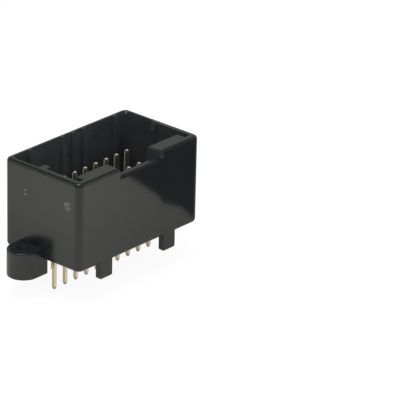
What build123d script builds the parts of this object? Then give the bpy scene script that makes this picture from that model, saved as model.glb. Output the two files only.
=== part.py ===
"""Locking box header for a circuit board: one moulded shroud and two rows of square contact posts.

Millimetres. +X runs along the contact rows, +Y from the latch side to the plain back wall, and +Z
away from the board. The origin is the centre of the contact field, on the board's upper face.
"""
from build123d import *
import os

os.makedirs("parts", exist_ok=True)

# Contact grid
contacts_per_row = 10
pitch = 2.54
row_spacing = 5.08

# Contact posts, stamped square and pushed in from above until the shoulder seats
post_size = 0.64
shoulder_step = 0.04
post_above_floor = 7.24
tail_below_board = 3.5
post_tip_size = 0.4
post_taper_length = 0.5
post_tip_radius = 0.12
tail_tip_size = 0.3
tail_taper_length = 0.5
shoulder_above_underside = 1.0

# Moulded shroud, its faces set out from the outermost contacts
end_margin = 3.05
back_margin = 3.35
latch_margin = 8.31
long_wall = 1.15
end_wall = 1.2
floor_thickness = 2.6
cavity_depth = 12.95
standoff = 2.8
outer_corner_radius = 1.2
inner_corner_radius = 0.4
rim_outer_radius = 0.6
rim_lead_in = 0.3
underside_radius = 0.7

# Guide blocks on each side of the latch notch, cored from below to keep the walls even
notch_width = 9.8
notch_depth = 1.4
notch_shoulder_radius = 0.35
guide_end_gap = 1.1
guide_block_reach = 1.85
guide_block_lead_in = 0.15
guide_core_skin = 1.0
guide_core_depth = 9.0
guide_core_draft = 1

# Latch catch between the guide blocks, inside the notched wall
catch_width = 5.0
catch_reach = 0.6
catch_ramp = 1.6
catch_land = 0.4
catch_underside = 0.6
catch_below_notch = 1.8

# Polarising rib inside the left end wall, and crush ribs inside the back wall and the right end wall
key_rib_offset = -1.65
key_rib_width = 1.25
key_rib_reach = 1.15
key_rib_radius = 0.3
crush_rib_columns = (-4, -1, 0, 1, 4)
crush_rib_shift = 0.7
crush_rib_width = 0.9
crush_rib_reach = 0.45
crush_rib_ramp = 1.5

# Feet under the latch wall
foot_columns = (-3, 3)
foot_shift = -0.3
foot_width = 2.7
foot_edge = 0.25

# Screw ears on the end walls
ear_radius = 2.75
ear_reach = 1.55
ear_under_floor = 1.2
ear_height = 4.65
ear_hole_radius = 1.15
ear_edge_radius = 0.3

# Levels above the board
underside = standoff
shoulder_level = underside + shoulder_above_underside
floor_top = underside + floor_thickness
rim = floor_top + cavity_depth
post_tip = floor_top + post_above_floor
tail_tip = -tail_below_board
tail_size = post_size - 2 * shoulder_step
notch_floor = rim - notch_depth

# Faces of the shroud in plan
end_face = (contacts_per_row - 1) / 2 * pitch + end_margin
end_inner = end_face - end_wall
back_face = row_spacing / 2 + back_margin
back_inner = back_face - long_wall
latch_face = -row_spacing / 2 - latch_margin
latch_inner = latch_face + long_wall
guide_face = latch_inner + guide_block_reach
guide_inner_end = notch_width / 2
guide_outer_end = end_inner - guide_end_gap
guide_centre = (guide_inner_end + guide_outer_end) / 2
guide_length = guide_outer_end - guide_inner_end
depth_centre = (back_face + latch_face) / 2
cavity_centre = (back_inner + latch_inner) / 2
ear_centre = end_face + ear_reach

contact_columns = [(i - (contacts_per_row - 1) / 2) * pitch for i in range(contacts_per_row)]
contact_rows = {"front": -row_spacing / 2, "back": row_spacing / 2}
contact_places = [(x, y) for y in contact_rows.values() for x in contact_columns]

# Shroud, with its floor, ribs, guide blocks, feet and ears in one moulding
with BuildPart() as housing:
    with BuildSketch(Plane.XY.offset(underside)):
        with Locations((0, depth_centre)):
            RectangleRounded(2 * end_face, back_face - latch_face, outer_corner_radius)
    extrude(amount=rim - underside)
    fillet(housing.faces().sort_by(Axis.Z)[0].edges(), underside_radius)
    fillet(housing.faces().sort_by(Axis.Z)[-1].edges(), rim_outer_radius)

    # Mating cavity, open at the rim
    with BuildSketch(Plane.XY.offset(floor_top)):
        with Locations((0, cavity_centre)):
            RectangleRounded(2 * end_inner, back_inner - latch_inner, inner_corner_radius)
    extrude(amount=cavity_depth, mode=Mode.SUBTRACT)

    # Lead-in round the back of the mouth, as far forward as the key rib
    with BuildSketch(Plane.XY.offset(rim)):
        with Locations((0, (back_inner + rim_lead_in + key_rib_offset) / 2)):
            lead_in_length = back_inner + rim_lead_in - key_rib_offset
            lead_in_width = 2 * (end_inner + rim_lead_in)
            RectangleRounded(lead_in_width, lead_in_length, inner_corner_radius + rim_lead_in)
    extrude(amount=-rim_lead_in, taper=45, mode=Mode.SUBTRACT)

    # Guide blocks stand on the floor against the latch wall
    for side in (-1, 1):
        with BuildPart(mode=Mode.PRIVATE) as guide_block:
            with BuildSketch(Plane.XY.offset(floor_top)):
                with Locations((side * guide_centre, guide_face)):
                    block_depth = guide_block_reach + long_wall / 2
                    Rectangle(guide_length, block_depth, align=(Align.CENTER, Align.MAX))
            extrude(amount=cavity_depth)
            block_top = guide_block.faces().sort_by(Axis.Z)[-1]
            free_edges = block_top.edges().sort_by(Axis.Y)[1:]
            chamfer(free_edges.sort_by(lambda edge: abs(edge.center().X))[1:], guide_block_lead_in)
        add(guide_block.part)
    with BuildSketch(Plane.XY.offset(underside)):
        with Locations((-guide_centre, latch_inner), (guide_centre, latch_inner)):
            core_length, core_width = guide_length - 2 * guide_core_skin, guide_block_reach - guide_core_skin
            Rectangle(core_length, core_width, align=(Align.CENTER, Align.MIN))
    extrude(amount=guide_core_depth, taper=guide_core_draft, mode=Mode.SUBTRACT)

    # Latch notch between the guide blocks, cut down from the rim
    with BuildSketch(Plane.XY.offset(notch_floor)):
        with Locations((0, latch_face)):
            Rectangle(notch_width, 2 * long_wall)
    extrude(amount=notch_depth, mode=Mode.SUBTRACT)
    notch_edges = housing.edges().filter_by(Axis.X).filter_by_position(Axis.Z, notch_floor, notch_floor)
    fillet(notch_edges.sort_by(Axis.Y)[0], rim_outer_radius)
    notch_shoulders = (
        housing.edges()
        .filter_by(Axis.Y)
        .filter_by_position(Axis.Z, rim, rim)
        .filter_by(lambda edge: abs(abs(edge.center().X) - notch_width / 2) < 0.001)
    )
    fillet(notch_shoulders, notch_shoulder_radius)

    # Latch catch on the inner face, ramped on both sides so that the core can be pulled
    catch_top = notch_floor - catch_below_notch
    with BuildSketch(Plane.YZ.offset(-catch_width / 2)):
        with BuildLine():
            Polyline(
                (latch_inner - long_wall / 2, catch_top),
                (latch_inner, catch_top),
                (latch_inner + catch_reach, catch_top - catch_ramp),
                (latch_inner + catch_reach, catch_top - catch_ramp - catch_land),
                (latch_inner, catch_top - catch_ramp - catch_land - catch_underside),
                (latch_inner - long_wall / 2, catch_top - catch_ramp - catch_land - catch_underside),
                close=True,
            )
        make_face()
    extrude(amount=catch_width)

    # Polarising rib down the left end wall, flush with the rim
    with BuildPart(mode=Mode.PRIVATE) as key_rib:
        with BuildSketch(Plane.XY.offset(floor_top)):
            with Locations((key_rib_reach - end_inner, key_rib_offset)):
                Rectangle(key_rib_reach + end_wall / 2, key_rib_width, align=(Align.MAX, Align.CENTER))
        extrude(amount=cavity_depth)
        fillet(key_rib.edges().filter_by(Axis.Z).sort_by(Axis.X)[-2:], key_rib_radius)
    add(key_rib.part)

    # Crush ribs, each ramped back to its wall at the rim
    back_rib_places = [column * pitch + crush_rib_shift for column in crush_rib_columns]
    back_rib_planes = [Plane((x, back_inner, floor_top), (0, -1, 0), (-1, 0, 0)) for x in back_rib_places]
    end_rib_plane = Plane((end_inner, key_rib_offset, floor_top), (-1, 0, 0), (0, 1, 0))
    for rib_plane in back_rib_planes + [end_rib_plane]:
        with BuildSketch(rib_plane):
            with BuildLine():
                Polyline(
                    (-long_wall / 2, 0),
                    (crush_rib_reach, 0),
                    (crush_rib_reach, cavity_depth - crush_rib_ramp),
                    (0, cavity_depth),
                    (-long_wall / 2, cavity_depth),
                    close=True,
                )
            make_face()
        extrude(amount=crush_rib_width / 2, both=True)

    # Feet under the latch wall, flush with its outer face
    for column in foot_columns:
        with BuildPart(mode=Mode.PRIVATE) as foot:
            with BuildSketch():
                with Locations((column * pitch + foot_shift, latch_face)):
                    Rectangle(foot_width, long_wall, align=(Align.CENTER, Align.MIN))
            extrude(amount=standoff + floor_thickness / 2)
            chamfer(foot.faces().sort_by(Axis.Z)[0].edges(), foot_edge)
        add(foot.part)

    # Screw ears reach out from the end walls and a little way under the floor
    for side in (-1, 1):
        with BuildPart(mode=Mode.PRIVATE) as ear:
            with BuildSketch():
                with Locations((side * ear_centre, 0)):
                    Circle(ear_radius)
                with Locations((side * (ear_centre - (ear_reach + ear_under_floor) / 2), 0)):
                    Rectangle(ear_reach + ear_under_floor, 2 * ear_radius)
            extrude(amount=ear_height)
            fillet(ear.faces().sort_by(Axis.Z)[-1].edges(), ear_edge_radius)
        add(ear.part)
    with BuildSketch():
        with Locations((-ear_centre, 0), (ear_centre, 0)):
            Circle(ear_hole_radius)
    extrude(amount=ear_height, mode=Mode.SUBTRACT)

    # Stepped square holes that hold the contacts
    with BuildSketch(Plane.XY.offset(underside)):
        with Locations(*contact_places):
            Rectangle(tail_size, tail_size)
    extrude(amount=shoulder_above_underside, mode=Mode.SUBTRACT)
    with BuildSketch(Plane.XY.offset(shoulder_level)):
        with Locations(*contact_places):
            Rectangle(post_size, post_size)
    extrude(amount=floor_top - shoulder_level, mode=Mode.SUBTRACT)

housing.part.label = "housing"
export_step(housing.part, "parts/housing.step")

# Contact posts, one piece each, with a blunt rounded tip above and a tapered tail below
for row_name, row_y in contact_rows.items():
    for number, column_x in enumerate(contact_columns, start=1):
        with BuildPart() as contact:
            with BuildSketch(Plane.XY.offset(shoulder_level)):
                with Locations((column_x, row_y)):
                    Rectangle(post_size, post_size)
            extrude(amount=post_tip - post_taper_length - shoulder_level)
            with BuildSketch(Plane.XY.offset(post_tip - post_taper_length)):
                with Locations((column_x, row_y)):
                    Rectangle(post_size, post_size)
            with BuildSketch(Plane.XY.offset(post_tip)):
                with Locations((column_x, row_y)):
                    Rectangle(post_tip_size, post_tip_size)
            loft()
            fillet(contact.faces().sort_by(Axis.Z)[-1].edges(), post_tip_radius)
            with BuildSketch(Plane.XY.offset(shoulder_level)):
                with Locations((column_x, row_y)):
                    Rectangle(tail_size, tail_size)
            extrude(amount=tail_tip + tail_taper_length - shoulder_level)
            with BuildSketch(Plane.XY.offset(tail_tip + tail_taper_length)):
                with Locations((column_x, row_y)):
                    Rectangle(tail_size, tail_size)
            with BuildSketch(Plane.XY.offset(tail_tip)):
                with Locations((column_x, row_y)):
                    Rectangle(tail_tip_size, tail_tip_size)
            loft()
        name = f"contact_{row_name}_{number:02d}"
        contact.part.label = name
        export_step(contact.part, f"parts/{name}.step")
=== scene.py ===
"""Locking box header for a circuit board: one black moulded shroud and twenty square contact posts.

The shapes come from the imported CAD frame. This script gives them their finish, light and camera. Lengths
are in metres. Colours are red, green and blue from nought to one, with a last number of one.
"""

import bpy
from mathutils import Matrix, Vector


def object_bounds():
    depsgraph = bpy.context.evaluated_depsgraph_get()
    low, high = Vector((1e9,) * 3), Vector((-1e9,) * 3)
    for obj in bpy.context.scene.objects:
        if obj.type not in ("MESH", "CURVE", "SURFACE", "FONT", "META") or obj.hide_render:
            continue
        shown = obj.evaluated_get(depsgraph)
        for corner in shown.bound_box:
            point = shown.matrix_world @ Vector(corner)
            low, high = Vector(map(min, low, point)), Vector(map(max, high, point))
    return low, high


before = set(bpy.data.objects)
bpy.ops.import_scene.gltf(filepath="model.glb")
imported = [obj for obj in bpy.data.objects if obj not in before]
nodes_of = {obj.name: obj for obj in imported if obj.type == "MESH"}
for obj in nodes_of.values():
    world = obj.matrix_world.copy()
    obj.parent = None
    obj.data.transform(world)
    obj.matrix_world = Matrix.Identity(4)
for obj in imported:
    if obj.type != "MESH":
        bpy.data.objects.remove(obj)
cad_low, cad_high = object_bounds()


def add_node(tree, kind, links=None, **values):
    """Adds one shader node. links maps inputs to sockets or fixed values, and the rest are properties."""
    made = tree.nodes.new(kind)
    for name, value in values.items():
        setattr(made, name, value)
    for name, value in (links or {}).items():
        socket = made.inputs[name]
        if isinstance(value, bpy.types.NodeSocket):
            tree.links.new(value, socket)
        else:
            socket.default_value = value
    return made


def combined(tree, operation, *values):
    """Gives the result of one Math operation on sockets or numbers."""
    return add_node(tree, "ShaderNodeMath", dict(enumerate(values)), operation=operation).outputs[0]


def vector_combined(tree, operation, *values):
    """Gives the result of one Vector Math operation: a vector, or a number where the operation makes one."""
    made = add_node(tree, "ShaderNodeVectorMath", dict(enumerate(values)), operation=operation)
    makes_number = operation in ("DISTANCE", "DOT_PRODUCT", "LENGTH")
    return made.outputs["Value" if makes_number else "Vector"]


def graded(tree, value, start, end, interpolation="LINEAR"):
    """Gives a number that goes from start to end with the value. Each is a pair: a value, its result."""
    return add_node(tree, "ShaderNodeMapRange", interpolation_type=interpolation, links={
        "Value": value, "From Min": start[0], "From Max": end[0], "To Min": start[1], "To Max": end[1],
    }).outputs["Result"]


def toned(tree, share, first, second):
    """Gives the first colour where the share is nought, the second where it is one, and a mix between."""
    return add_node(tree, "ShaderNodeMix", data_type="RGBA", links={
        "Factor": share, "A": first, "B": second}).outputs["Result"]


def new_group(name, inputs, outputs):
    """Gives a shader node group with the named sockets, its input node and its output node."""
    group = bpy.data.node_groups.new(name, "ShaderNodeTree")
    for label, kind, value in inputs:
        socket = group.interface.new_socket(name=label, in_out="INPUT", socket_type=kind)
        socket.default_value = value
    for label, kind in outputs:
        group.interface.new_socket(name=label, in_out="OUTPUT", socket_type=kind)
    return group, group.nodes.new("NodeGroupInput"), group.nodes.new("NodeGroupOutput")


def new_material(name, display_colour):
    """Gives a node material with a Principled shader on its output, its node tree, and that shader."""
    material = bpy.data.materials.new(name)
    material.use_nodes = True
    material.diffuse_color = (*display_colour, 1)
    tree = material.node_tree
    tree.nodes.clear()
    shader = add_node(tree, "ShaderNodeBsdfPrincipled")
    add_node(tree, "ShaderNodeOutputMaterial", {"Surface": shader.outputs["BSDF"]})
    return material, tree, shader


def set_finish(cad_node, material):
    """Puts one material in every slot of a CAD node, whose mesh stays as it is."""
    if not cad_node.material_slots:
        cad_node.data.materials.append(material)
    for each in cad_node.material_slots:
        each.material = material


# The grain group: fine even pits at one size, and slow clouds at another, much larger one. Stretch draws
# both out along an axis, as lines on drawn strip are.
grain, grain_in, grain_out = new_group(
    "surface_grain",
    [("Vector", "NodeSocketVector", (0, 0, 0)), ("Pits per metre", "NodeSocketFloat", 5000.0),
     ("Clouds per metre", "NodeSocketFloat", 300.0), ("Stretch", "NodeSocketVector", (1, 1, 1))],
    [("Pits", "NodeSocketFloat"), ("Clouds", "NodeSocketFloat")])
drawn_out = vector_combined(grain, "MULTIPLY", grain_in.outputs["Vector"], grain_in.outputs["Stretch"])
pits = add_node(grain, "ShaderNodeTexNoise", {
    "Vector": drawn_out, "Scale": grain_in.outputs["Pits per metre"], "Detail": 2.0, "Roughness": 0.6})
clouds = add_node(grain, "ShaderNodeTexNoise", {
    "Vector": drawn_out, "Scale": grain_in.outputs["Clouds per metre"], "Detail": 3.0})
grain.links.new(pits.outputs["Fac"], grain_out.inputs["Pits"])
grain.links.new(clouds.outputs["Fac"], grain_out.inputs["Clouds"])

# The box mask group: one inside a box given by its centre and half its size, and nought outside.
box_mask, mask_in, mask_out = new_group(
    "inside_box",
    [("Vector", "NodeSocketVector", (0, 0, 0)), ("Centre", "NodeSocketVector", (0, 0, 0)),
     ("Half size", "NodeSocketVector", (1, 1, 1))],
    [("Mask", "NodeSocketFloat")])
from_centre = vector_combined(box_mask, "SUBTRACT", mask_in.outputs["Vector"], mask_in.outputs["Centre"])
distance = vector_combined(box_mask, "ABSOLUTE", from_centre)
room_left = vector_combined(box_mask, "SUBTRACT", mask_in.outputs["Half size"], distance)
room_along = add_node(box_mask, "ShaderNodeSeparateXYZ", {"Vector": room_left}).outputs
least = combined(box_mask, "MINIMUM", room_along["X"], room_along["Y"])
least = combined(box_mask, "MINIMUM", least, room_along["Z"])
inside = combined(box_mask, "GREATER_THAN", least, 0.0)
box_mask.links.new(inside, mask_out.inputs["Mask"])


def inside_box(tree, point, centre, half_size):
    """Gives one where the point is in the box, and nought elsewhere."""
    return add_node(tree, "ShaderNodeGroup", node_tree=box_mask, links={
        "Vector": point, "Centre": centre, "Half size": half_size}).outputs["Mask"]


black_moulding, tree, shader = new_material("black_moulding", (0.02, 0.021, 0.022))
coordinates = add_node(tree, "ShaderNodeTexCoord")
place, facing = coordinates.outputs["Object"], coordinates.outputs["Normal"]
skin = add_node(tree, "ShaderNodeGroup", node_tree=grain, links={
    "Vector": place, "Pits per metre": 4200.0, "Clouds per metre": 260.0}).outputs

# Cored parts: the cavity and, towards both ends, the screw holes. Both sides of the notch join them for the
# paler inner tone, a painted highlight.
cavity_low, cavity_high = Vector((-0.0133, -0.00972, 0.0053)), Vector((0.0133, 0.00476, 0.01832))
screw_hole_centre, screw_hole_half = (0.01603, 0, 0.00229), (0.00118, 0.00118, 0.00230)
notch_highlight_centre, notch_highlight_half = (0.0051, 0.0103, 0.0176), (0.0004, 0.0006, 0.0006)
in_cavity = inside_box(tree, place, (cavity_low + cavity_high) / 2, (cavity_high - cavity_low) / 2)
both_ends = vector_combined(tree, "ABSOLUTE", place)
in_screw_hole = inside_box(tree, both_ends, screw_hole_centre, screw_hole_half)
notch_side_highlight = inside_box(tree, both_ends, notch_highlight_centre, notch_highlight_half)
cored_and_notch_highlight = combined(tree, "MAXIMUM", in_cavity, in_screw_hole)
cored_and_notch_highlight = combined(tree, "MAXIMUM", cored_and_notch_highlight, notch_side_highlight)

# Tones: cloudy outside and inside. The ramps of the ribs and the catch, and other faces in the cavity that
# lean up towards the light, get an even dark tone, a painted shade. The flanks of the crush ribs are paler,
# a painted highlight.
outer_dark, outer_pale = (0.0150, 0.0170, 0.0184, 1), (0.0186, 0.0210, 0.0227, 1)
inner_dark, inner_pale = (0.022, 0.026, 0.029, 1), (0.078, 0.084, 0.088, 1)
painted_ramp_shade_tone = (0.026, 0.029, 0.031, 1)
rib_side_highlight_tone = (0.085, 0.091, 0.095, 1)
upright, hardly_leaning = 0.03, 0.08
nearly_level, level = 0.85, 0.95
square_on = 0.7
back_ribs_centre, back_ribs_half = (0, 0.00448, 0.0118), (0.0130, 0.0003, 0.0065)
end_rib_centre, end_rib_half = (0.01305, -0.00165, 0.0118), (0.00035, 0.0006, 0.0065)
outer_tone = toned(tree, skin["Clouds"], outer_dark, outer_pale)
inner_tone = toned(tree, skin["Clouds"], inner_dark, inner_pale)
leaning = add_node(tree, "ShaderNodeSeparateXYZ", {"Vector": facing}).outputs
# Painted shade: faces in the cavity that lean between upright and level are given the darker ramp tone.
off_upright = graded(tree, leaning["Z"], (upright, 0.0), (hardly_leaning, 1.0))
off_level = graded(tree, leaning["Z"], (nearly_level, 1.0), (level, 0.0))
painted_shade_on_ramps = combined(tree, "MULTIPLY", off_upright, off_level)
inner_tone = toned(tree, painted_shade_on_ramps, inner_tone, painted_ramp_shade_tone)
# Painted highlight: the flanks of the crush ribs by the back wall and by the right end wall are made paler.
by_back_wall = inside_box(tree, place, back_ribs_centre, back_ribs_half)
side_on = combined(tree, "ABSOLUTE", leaning["X"])
side_on = combined(tree, "GREATER_THAN", side_on, square_on)
back_rib_highlight = combined(tree, "MULTIPLY", by_back_wall, side_on)
by_end_wall = inside_box(tree, place, end_rib_centre, end_rib_half)
front_on = combined(tree, "ABSOLUTE", leaning["Y"])
front_on = combined(tree, "GREATER_THAN", front_on, square_on)
end_rib_highlight = combined(tree, "MULTIPLY", by_end_wall, front_on)
rib_side_highlights = combined(tree, "MAXIMUM", back_rib_highlight, end_rib_highlight)
inner_tone = toned(tree, rib_side_highlights, inner_tone, rib_side_highlight_tone)
tone = toned(tree, cored_and_notch_highlight, outer_tone, inner_tone)

# Scuffs: pale rubbed spots on the left end wall, each given by its place across and up the wall, its
# reach and its strength. The pits of the skin fray them.
end_wall_face = -0.01448
scuffs = [(0.00119, 0.01397, 0.00034, 0.8), (0.00107, 0.01326, 0.00036, 1.0),
          (-0.00785, 0.01421, 0.00060, 0.75), (-0.00846, 0.01445, 0.00042, 0.75),
          (-0.00822, 0.01369, 0.00095, 0.42)]
scuff_tone = (0.30, 0.29, 0.265, 1)
frayed_least, frayed_most = (0.35, 0.5), (0.65, 1.0)
rubbed = 0.0
for across, up, reach, strength in scuffs:
    gap = vector_combined(tree, "DISTANCE", place, (end_wall_face, across, up))
    core = graded(tree, gap, (0.0, strength), (reach, 0.0), "SMOOTHSTEP")
    rubbed = combined(tree, "MAXIMUM", rubbed, core)
frayed = graded(tree, skin["Pits"], frayed_least, frayed_most)
rubbed = combined(tree, "MULTIPLY", rubbed, frayed)
tone = toned(tree, rubbed, tone, scuff_tone)

# Gloss: a soft sheen outside that varies a little with the clouds, and a dull inside.
sheen_least, sheen_most = (0.3, 0.18), (0.7, 0.22)
inner_roughness = 0.5
texture_strength, texture_depth = 0.28, 0.00002
outer_roughness = graded(tree, skin["Clouds"], sheen_least, sheen_most)
roughness = add_node(tree, "ShaderNodeMix", {"Factor": cored_and_notch_highlight, "A": outer_roughness, "B": inner_roughness})
texture = add_node(tree, "ShaderNodeBump", {
    "Height": skin["Pits"], "Strength": texture_strength, "Distance": texture_depth})
tree.links.new(tone, shader.inputs["Base Color"])
tree.links.new(roughness.outputs["Result"], shader.inputs["Roughness"])
tree.links.new(texture.outputs["Normal"], shader.inputs["Normal"])
shader.inputs["IOR"].default_value = 1.5
set_finish(nodes_of["housing"], black_moulding)

# Contacts: two rows of ten square posts, stamped from brass strip and plated. Each is pushed down into the
# floor until its shoulder seats. Two faces are plated strip with fine drawn lines. The two sheared faces
# have a burnished band and a torn, darker one, and the tail's end is bare cut brass. The tip is coined, and
# is painted pale cream and not metallic above a set height, a painted highlight.
plated_brass, tree, shader = new_material("plated_brass", (0.8, 0.72, 0.55))
coordinates = add_node(tree, "ShaderNodeTexCoord")
place, facing = coordinates.outputs["Object"], coordinates.outputs["Normal"]
lines = add_node(tree, "ShaderNodeGroup", node_tree=grain, links={
    "Vector": place, "Pits per metre": 9000.0, "Clouds per metre": 900.0, "Stretch": (1, 1, 0.06)}).outputs
facing_along = add_node(tree, "ShaderNodeSeparateXYZ", {"Vector": facing}).outputs
up_post = add_node(tree, "ShaderNodeSeparateXYZ", {"Vector": place}).outputs

# Where each finish lies: by the face's own direction, by the height on the post, and by the distance from
# the line of the row, towards the back wall.
row_distance = 0.00254
plated_face, sheared_face = (0.5, 0.0), (0.8, 1.0)
torn_edge, burnished_edge = (0.00004, 1.0), (0.00018, 0.0)
tail_start, tail_whole = (0.0034, 0.0), (0.0026, 1.0)
cut_start, cut_whole = (-0.00295, 0.0), (-0.00325, 1.0)
tip_start, tip_whole = (0.01250, 0.0), (0.01262, 1.0)
sideways = combined(tree, "ABSOLUTE", facing_along["X"])
sheared = graded(tree, sideways, plated_face, sheared_face)
row_side = combined(tree, "SIGN", up_post["Y"])
from_row = combined(tree, "ABSOLUTE", up_post["Y"])
from_row = combined(tree, "ADD", from_row, -row_distance)
from_row = combined(tree, "MULTIPLY", from_row, row_side)
torn = graded(tree, from_row, torn_edge, burnished_edge)
tail = graded(tree, up_post["Z"], tail_start, tail_whole)
cut_end = graded(tree, up_post["Z"], cut_start, cut_whole)
coined_tip_highlight = graded(tree, up_post["Z"], tip_start, tip_whole)

plated_tone, plated_tail_tone = (0.82, 0.77, 0.69, 1), (0.96, 0.91, 0.81, 1)
burnished_tone, torn_tone = (0.80, 0.68, 0.50, 1), (0.09, 0.08, 0.052, 1)
sheared_tail_tone = (0.69, 0.54, 0.36, 1)
cut_tone = (0.46, 0.31, 0.18, 1)
# Painted highlight: the pale cream tone of the tip.
tip_highlight_tone = (1.0, 0.90, 0.70, 1)
sheared_tone = toned(tree, torn, burnished_tone, torn_tone)
sheared_tone = toned(tree, tail, sheared_tone, sheared_tail_tone)
strip_tone = toned(tree, tail, plated_tone, plated_tail_tone)
tone = toned(tree, sheared, strip_tone, sheared_tone)
tone = toned(tree, cut_end, tone, cut_tone)
tone = toned(tree, coined_tip_highlight, tone, tip_highlight_tone)

# Gloss: the worked faces, sheared or coined, are duller than plated strip. Drawn lines vary the sheen.
bright_metal, dull_metal = (0.0, 1.0), (1.0, 0.15)
sheen_least, sheen_most = (0.3, 0.30), (0.7, 0.45)
texture_strength, texture_depth = 0.3, 0.00001
worked = combined(tree, "MAXIMUM", sheared, coined_tip_highlight)
metallic = graded(tree, worked, bright_metal, dull_metal)
metallic = combined(tree, "MAXIMUM", metallic, tail)
roughness = graded(tree, lines["Clouds"], sheen_least, sheen_most)
texture = add_node(tree, "ShaderNodeBump", {
    "Height": lines["Pits"], "Strength": texture_strength, "Distance": texture_depth})
tree.links.new(tone, shader.inputs["Base Color"])
tree.links.new(metallic, shader.inputs["Metallic"])
tree.links.new(roughness, shader.inputs["Roughness"])
tree.links.new(texture.outputs["Normal"], shader.inputs["Normal"])
for name, cad_node in nodes_of.items():
    if name.startswith("contact_"):
        set_finish(cad_node, plated_brass)

# Floor: a plain white table under the tails, out to far behind the object. It shows white, and keeps a
# faint soft shadow under the header. The glossy plastic sees a painted glow on it instead: painted light,
# strongest at the left front and falling off to the back and far out, with a painted shadow of the header
# and one of the camera.
floor_level = cad_low.z
floor_reach = 4.0
floor_mesh = bpy.data.meshes.new("floor")
floor_mesh.from_pydata(
    [(-floor_reach, -floor_reach, floor_level), (floor_reach, -floor_reach, floor_level),
     (floor_reach, floor_reach, floor_level), (-floor_reach, floor_reach, floor_level)], [], [(0, 1, 2, 3)])
floor = bpy.data.objects.new("floor", floor_mesh)
bpy.context.scene.collection.objects.link(floor)

# Each pair gives a distance on the table, and the light there. Away is the way that the camera looks.
away = Vector((0.758, 0.652, 0.0))
front_light, back_light = (-0.020, 1.05), (0.040, 0.05)
near_light, far_light = (0.07, 1.0), (0.22, 0.1)
own_shade, out_of_own_shade = (0.015, 0.74), (0.045, 1.12)
camera_shade, out_of_camera_shade = (-0.050, 0.72), (-0.026, 1.0)
mirrored_colour = (1.0, 0.985, 0.90, 1)
table_colour = (0.8, 0.8, 0.79, 1)
shadow_share = (0.11, 0.11, 0.11, 1)
white_glow = 0.925
white_table = bpy.data.materials.new("white_table")
white_table.use_nodes = True
tree = white_table.node_tree
tree.nodes.clear()
on_table = add_node(tree, "ShaderNodeTexCoord").outputs["Object"]
behind = vector_combined(tree, "DOT_PRODUCT", on_table, away)
off_centre = vector_combined(tree, "LENGTH", on_table)
lit_part = graded(tree, behind, front_light, back_light)
near_part = graded(tree, off_centre, near_light, far_light)
painted_header_shadow = graded(tree, off_centre, own_shade, out_of_own_shade)
painted_camera_shadow = graded(tree, behind, camera_shade, out_of_camera_shade)
painted_table_glow = combined(tree, "MULTIPLY", lit_part, near_part)
painted_table_glow = combined(tree, "MULTIPLY", painted_table_glow, painted_header_shadow)
painted_table_glow = combined(tree, "MULTIPLY", painted_table_glow, painted_camera_shadow)
plain = add_node(tree, "ShaderNodeBsdfDiffuse", {"Color": table_colour})
shadowed = add_node(tree, "ShaderNodeBsdfDiffuse", {"Color": shadow_share})
glow = add_node(tree, "ShaderNodeEmission", {"Color": (1, 1, 1, 1), "Strength": white_glow})
seen_white = add_node(tree, "ShaderNodeAddShader", {0: shadowed.outputs[0], 1: glow.outputs[0]})
mirrored = add_node(tree, "ShaderNodeEmission", {"Color": mirrored_colour, "Strength": painted_table_glow})
ray = add_node(tree, "ShaderNodeLightPath").outputs
table = add_node(tree, "ShaderNodeMixShader", {
    0: ray["Is Glossy Ray"], 1: plain.outputs[0], 2: mirrored.outputs[0]})
straight = combined(tree, "MAXIMUM", ray["Is Camera Ray"], ray["Is Transmission Ray"])
table = add_node(tree, "ShaderNodeMixShader", {
    0: straight, 1: table.outputs[0], 2: seen_white.outputs[0]})
add_node(tree, "ShaderNodeOutputMaterial", {"Surface": table.outputs[0]})
floor_mesh.materials.append(white_table)

# Light: a soft room light, stronger from the right front, and one large softbox above. Gloss sees a pale
# wall behind the object that starts a little above the table, a pale strip at each side, and a dim room
# elsewhere. Each pair gives a share of the direction, and what comes from there.
window_away = (-0.6, 0.8, 0.0)
window_light, far_side_light = (-0.6, 0.85), (0.6, 0.3)
beside_wall, before_wall = (0.2, 0.0), (0.8, 1.0)
below_wall, above_foot = (0.10, 0.0), (0.30, 1.0)
below_head, above_wall = (0.58, 1.0), (0.74, 0.0)
dim_room, lit_wall = (0.0, 0.08), (1.0, 0.44)
camera_side = (0.652, -0.758, 0.0)
before_strip, in_strip = (0.76, 0.0), (0.90, 0.75)
wall_colour = (0.99, 1, 0.87, 1)
world = bpy.data.worlds.new("room")
bpy.context.scene.world = world
world.use_nodes = True
tree = world.node_tree
tree.nodes.clear()
direction = add_node(tree, "ShaderNodeTexCoord").outputs["Generated"]
height = add_node(tree, "ShaderNodeSeparateXYZ", {"Vector": direction}).outputs["Z"]
off_window = vector_combined(tree, "DOT_PRODUCT", direction, window_away)
room_light = graded(tree, off_window, window_light, far_side_light)
backwards = vector_combined(tree, "DOT_PRODUCT", direction, away)
wall_side = graded(tree, backwards, beside_wall, before_wall, "SMOOTHSTEP")
wall_foot = graded(tree, height, below_wall, above_foot, "SMOOTHSTEP")
wall_head = graded(tree, height, below_head, above_wall, "SMOOTHSTEP")
wall = combined(tree, "MULTIPLY", wall_foot, wall_head)
wall = combined(tree, "MULTIPLY", wall, wall_side)
wall_light = graded(tree, wall, dim_room, lit_wall)
to_side = vector_combined(tree, "DOT_PRODUCT", direction, camera_side)
to_side = combined(tree, "ABSOLUTE", to_side)
strip_light = graded(tree, to_side, before_strip, in_strip, "SMOOTHSTEP")
gloss_light = combined(tree, "MAXIMUM", wall_light, strip_light)
room = add_node(tree, "ShaderNodeBackground", {"Color": (1, 1, 1, 1), "Strength": room_light})
pale_wall = add_node(tree, "ShaderNodeBackground", {"Color": wall_colour, "Strength": gloss_light})
backdrop = add_node(tree, "ShaderNodeBackground", {"Color": (1, 1, 1, 1), "Strength": 1.0})
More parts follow.
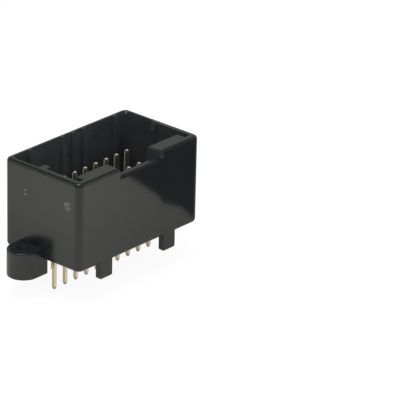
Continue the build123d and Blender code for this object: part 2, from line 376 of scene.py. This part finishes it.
ray = add_node(tree, "ShaderNodeLightPath").outputs
surroundings = add_node(tree, "ShaderNodeMixShader", {
    0: ray["Is Glossy Ray"], 1: room.outputs[0], 2: pale_wall.outputs[0]})
surroundings = add_node(tree, "ShaderNodeMixShader", {
    0: ray["Is Camera Ray"], 1: surroundings.outputs[0], 2: backdrop.outputs[0]})
add_node(tree, "ShaderNodeOutputWorld", {"Surface": surroundings.outputs[0]})

softbox = bpy.data.objects.new("softbox", bpy.data.lights.new("softbox", "AREA"))
softbox.data.shape = "SQUARE"
softbox.data.size = 0.5
softbox.data.energy = 3.0
softbox.location = (-0.16, 0.0, 0.77)
softbox.rotation_euler = softbox.location.to_track_quat("Z", "Y").to_euler()
bpy.context.scene.collection.objects.link(softbox)

# Flag: a black card in front of the latch wall's right half, which only gloss sees. It gives that half its
# dark reflection, whose lower edge steps down to the right.
latch_wall_face = -0.01085
flag_distance = 0.0045
flag_y = latch_wall_face - flag_distance
flag_outline = [(0.0023, 0.0133), (0.0095, 0.0076), (0.0106, 0.0059), (0.0152, 0.0038), (0.0184, 0.0006),
                (0.0221, 0.0006), (0.0221, 0.0216), (-0.0009, 0.0216), (-0.0009, 0.0157)]
flag_mesh = bpy.data.meshes.new("flag")
flag_mesh.from_pydata([(x, flag_y, z) for x, z in flag_outline], [], [tuple(range(len(flag_outline)))])
flag = bpy.data.objects.new("flag", flag_mesh)
bpy.context.scene.collection.objects.link(flag)
flag.visible_camera = False
flag.visible_diffuse = False
flag.visible_shadow = False
card_colour = (0.01, 0.01, 0.01)
black_card, tree, shader = new_material("black_card", card_colour)
shader.inputs["Base Color"].default_value = (*card_colour, 1)
shader.inputs["Roughness"].default_value = 0.9
flag_mesh.materials.append(black_card)

# Camera: a long lens from the left front, a little above, rolled by a degree or so. Its place and its turn
# were fitted to the rim, the edges and the post tips in the photograph.
camera = bpy.data.objects.new("camera", bpy.data.cameras.new("camera"))
camera.data.sensor_width = 36.0
camera.data.lens = 306.88
camera.data.clip_start, camera.data.clip_end = 0.05, 20.0
camera_back = Vector((-0.692477, -0.595391, 0.407412))
camera_right = Vector((0.651952, -0.758261, 0.0))
camera_up = camera_back.cross(camera_right)
camera_roll = 0.024428
turned = Matrix.Identity(3)
turned.col[0], turned.col[1], turned.col[2] = camera_right, camera_up, camera_back
camera.location = (-0.377065, -0.347816, 0.237096)
camera.rotation_euler = (turned @ Matrix.Rotation(camera_roll, 3, "Z")).to_euler()
bpy.context.scene.collection.objects.link(camera)
bpy.context.scene.camera = camera
bpy.context.scene.view_settings.view_transform = "Standard"
